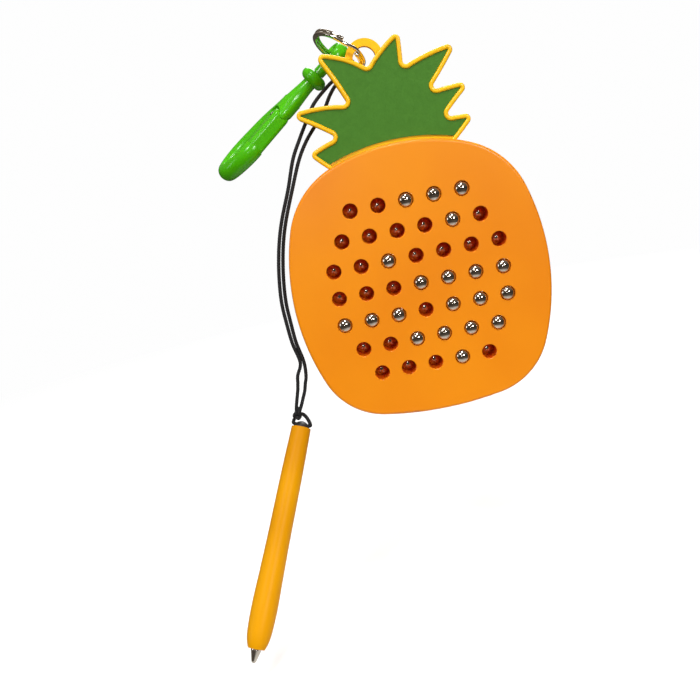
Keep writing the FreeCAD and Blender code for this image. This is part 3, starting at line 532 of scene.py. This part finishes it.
def make_ring():
    """Two turns of flat wire with rounded corners that cross over between the two cut ends."""
    centre, axis, start, inner, outer, height = ring_frame()
    other = axis.cross(start)
    radius = (inner + outer) / 2
    half_width = (outer - inner) / 2
    half_level = height / 6
    vertices = []
    for step in range(RING_STEPS + 1):
        turns = RING_END_SHARE + (2 - 2 * RING_END_SHARE) * step / RING_STEPS
        share = min(1.0, max(0.0, (turns - 1) / (1.8 * RING_END_SHARE) + 0.5))
        level = (2 * share * share * (3 - 2 * share) - 1) * half_level
        angle = TAU * turns
        away = start * math.cos(angle) + other * math.sin(angle)
        closing = min(1.0, 0.82 + 0.09 * min(step, RING_STEPS - step))
        for k in range(RING_SIDES):
            turn = TAU * k / RING_SIDES
            out = radius + closing * half_width * rounded_power(math.cos(turn))
            up = level + closing * 0.97 * half_level * rounded_power(math.sin(turn))
            vertices.append(centre + away * out + axis * up)
    faces = []
    for step in range(RING_STEPS):
        for k in range(RING_SIDES):
            nxt = (k + 1) % RING_SIDES
            faces.append((step * RING_SIDES + k, step * RING_SIDES + nxt,
                          (step + 1) * RING_SIDES + nxt, (step + 1) * RING_SIDES + k))
    last = RING_STEPS * RING_SIDES
    faces.append(tuple(reversed(range(RING_SIDES))))
    faces.append(tuple(range(last, last + RING_SIDES)))
    mesh = bpy.data.meshes.new("split_ring_wire")
    mesh.from_pydata(vertices, [], faces)
    mesh.shade_smooth()
    mesh.materials.append(FINISHES["nickel"])
    ring = bpy.data.objects.new("split_ring_wire", mesh)
    bpy.context.scene.collection.objects.link(ring)
    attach(ring, "ring")
    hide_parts("split_ring")


def make_hitch():
    """The hitch that ties the cord round the split ring, just behind the crown. It rides the ring."""
    centre, axis, start, inner, outer, height = ring_frame()
    nearest = nearest_point("split_ring", CORD_TOP + Vector((1.0, 1.0, 1.0)) * MM)
    away = (nearest - centre - axis * (nearest - centre).dot(axis)).normalized()
    spot = centre + away * (inner + outer) / 2
    wire = axis.cross(away).normalized()
    down = CORD_TOP - spot
    down = (down - wire * down.dot(wire)).normalized()
    out = wire.cross(down).normalized()
    wrap = 1.3 * MM
    shape = ((0.36, 1.5, 0.1), (0.36, 0.9, 0.7), (0.36, 0.0, 1.0), (0.38, -1.0, 0.0), (0.40, 0.0, -1.0),
             (0.75, 0.9, -0.7), (0.72, 1.3, 0.5), (0.0, 1.25, 1.15))
    turns = [spot + (wire * w + down * d + out * o) * wrap for w, d, o in shape]
    mirrored = [spot + (down * d + out * o - wire * w) * wrap for w, d, o in shape[-2::-1]]
    left, right = (offset_line(UPPER_LINE, side)[0] for side in (-1, 1))
    ends = (left, right) if (left - turns[0]).length < (right - turns[0]).length else (right, left)
    path = smooth_path([ends[0]] + turns + mirrored + [ends[1]], STRAND_STEP)
    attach(strand("cord_hitch", path), "ring")


# ---------------------------------------------------------------- stage
def make_floor():
    low, high = cad_box
    reach = 3.0
    height = low[2] - FLOOR_GAP
    mesh = bpy.data.meshes.new("floor")
    corners = [(-reach, -reach, height), (reach, -reach, height),
               (reach, reach, height), (-reach, reach, height)]
    mesh.from_pydata(corners, [], [(0, 1, 2, 3)])
    shader = Shader("floor_finish")
    grain = shader.noise(4 * MM, 3.0)
    flat = shader.add("ShaderNodeVectorMath", {0: shader.place, 1: (1.0, 1.0, 0.0)},
                      operation="MULTIPLY")
    length = shader.add("ShaderNodeVectorMath", {0: flat.outputs["Vector"]}, operation="LENGTH")
    distance = length.outputs["Value"]
    rays = shader.add("ShaderNodeLightPath").outputs["Is Camera Ray"]
    pale = shader.blend(grain, (0.92, 0.92, 0.92, 1), (0.89, 0.89, 0.89, 1))
    # Painted shade: rays other than camera rays see the floor fade to near black further out, a dark
    # surround for metal to mirror.
    far = shader.spread(distance, 0.04, 0.12)
    mirrored = shader.blend(far, (0.60, 0.58, 0.55, 1), (0.06, 0.05, 0.04, 1))
    colour = shader.blend(rays, mirrored, pale)
    rough = shader.spread(grain, 0.3, 0.7, 0.75, 0.9)
    shader.finish(Base_Color=colour, Roughness=rough, Specular_IOR_Level=0.1)
    backdrop = shader.add("ShaderNodeEmission", {"Color": BACKDROP})
    fade = shader.sum(shader.spread(distance, 0.10, 0.45), rays, "MULTIPLY")
    mixed = shader.add("ShaderNodeMixShader", {0: fade, 1: shader.surface.outputs["BSDF"],
                                               2: backdrop.outputs["Emission"]})
    output = shader.tree.nodes["Material Output"]
    shader.tree.links.new(mixed.outputs["Shader"], output.inputs["Surface"])
    mesh.materials.append(shader.material)
    floor = bpy.data.objects.new("floor", mesh)
    bpy.context.scene.collection.objects.link(floor)


def softbox(name, centre, toward, width, height, watts, colour=(1.0, 1.0, 1.0)):
    """A rectangular studio light at centre that faces the point toward."""
    lamp = bpy.data.lights.new(name, "AREA")
    lamp.shape = "RECTANGLE"
    lamp.size = width
    lamp.size_y = height
    lamp.energy = watts
    lamp.color = colour
    light = bpy.data.objects.new(name, lamp)
    light.location = centre
    light.rotation_euler = (toward - centre).to_track_quat("-Z", "Y").to_euler()
    bpy.context.scene.collection.objects.link(light)


def around_board(azimuth, elevation, distance):
    """A place seen from the board's face at azimuth degrees to the right and elevation degrees up."""
    a = math.radians(azimuth)
    e = math.radians(elevation)
    return Vector((math.sin(a) * math.cos(e), -math.cos(a) * math.cos(e), math.sin(e))) * distance


def make_lights():
    board = Vector((0, 0, 0))
    # name, place as seen from the face, what it faces, width, height, watts
    softbox("key", around_board(24, 18, 0.62), board, 0.10, 0.10, 1.38)
    softbox("second", around_board(-30, 42, 0.62), board, 0.12, 0.09, 1.1)
    softbox("top", around_board(10, 66, 0.60), board, 0.14, 0.07, 1.2)
    softbox("side_left", around_board(-75, 12, 0.8), board, 0.12, 0.3, 0.4)
    softbox("front", around_board(-8, 7, 0.5), board, 0.025, 0.025, 0.1)
    softbox("back", around_board(165, 40, 0.9), board, 0.6, 0.4, 6.0)


def make_world():
    """A pale backdrop, soft even light on matt surfaces, and a dim warm room for metal to mirror."""
    world = bpy.data.worlds.new("studio")
    world.use_nodes = True
    bpy.context.scene.world = world
    nodes = world.node_tree.nodes
    links = world.node_tree.links
    nodes.clear()
    output = nodes.new("ShaderNodeOutputWorld")
    rays = nodes.new("ShaderNodeLightPath")
    plain = nodes.new("ShaderNodeBackground")
    plain.inputs["Color"].default_value = BACKDROP
    soft = nodes.new("ShaderNodeBackground")
    soft.inputs["Color"].default_value = (1.0, 0.99, 0.97, 1)
    soft.inputs["Strength"].default_value = 0.48
    room = nodes.new("ShaderNodeBackground")
    place = nodes.new("ShaderNodeTexCoord")
    split = nodes.new("ShaderNodeSeparateXYZ")
    shades = nodes.new("ShaderNodeValToRGB")
    rise = nodes.new("ShaderNodeMapRange")
    rise.inputs["From Min"].default_value = -1.0
    ramp = shades.color_ramp
    stops = ((0.0, 0.08), (0.45, 0.05), (0.58, 0.09), (0.75, 0.20), (0.92, 0.26))
    while len(ramp.elements) < len(stops):
        ramp.elements.new(0.5)
    for element, (where, value) in zip(ramp.elements, stops):
        element.position = where
        element.color = (value, value * 0.84, value * 0.70, 1)
    mirrored = nodes.new("ShaderNodeMixShader")
    shown = nodes.new("ShaderNodeMixShader")
    links.new(place.outputs["Generated"], split.inputs["Vector"])
    links.new(split.outputs["Z"], rise.inputs["Value"])
    links.new(rise.outputs["Result"], shades.inputs["Fac"])
    links.new(shades.outputs["Color"], room.inputs["Color"])
    links.new(rays.outputs["Is Glossy Ray"], mirrored.inputs["Fac"])
    links.new(soft.outputs["Background"], mirrored.inputs[1])
    links.new(room.outputs["Background"], mirrored.inputs[2])
    links.new(rays.outputs["Is Camera Ray"], shown.inputs["Fac"])
    links.new(mirrored.outputs["Shader"], shown.inputs[1])
    links.new(plain.outputs["Background"], shown.inputs[2])
    links.new(shown.outputs["Shader"], output.inputs["Surface"])


def make_camera():
    data = bpy.data.cameras.new("camera")
    data.lens = CAMERA_LENS
    data.clip_start = 0.01
    camera = bpy.data.objects.new("camera", data)
    camera.matrix_world = (Matrix.Translation(CAMERA_PLACE)
                           @ Matrix.Rotation(math.radians(CAMERA_YAW), 4, "Z")
                           @ Matrix.Rotation(math.radians(90 + CAMERA_PITCH), 4, "X")
                           @ Matrix.Rotation(math.radians(CAMERA_ROLL), 4, "Z"))
    bpy.context.scene.collection.objects.link(camera)
    bpy.context.scene.camera = camera
    bpy.context.scene.view_settings.view_transform = "Standard"


finish_cad_nodes()
make_cord()
make_knot()
make_loop()
make_hitch()
make_ring()
make_floor()
make_lights()
make_world()
make_camera()
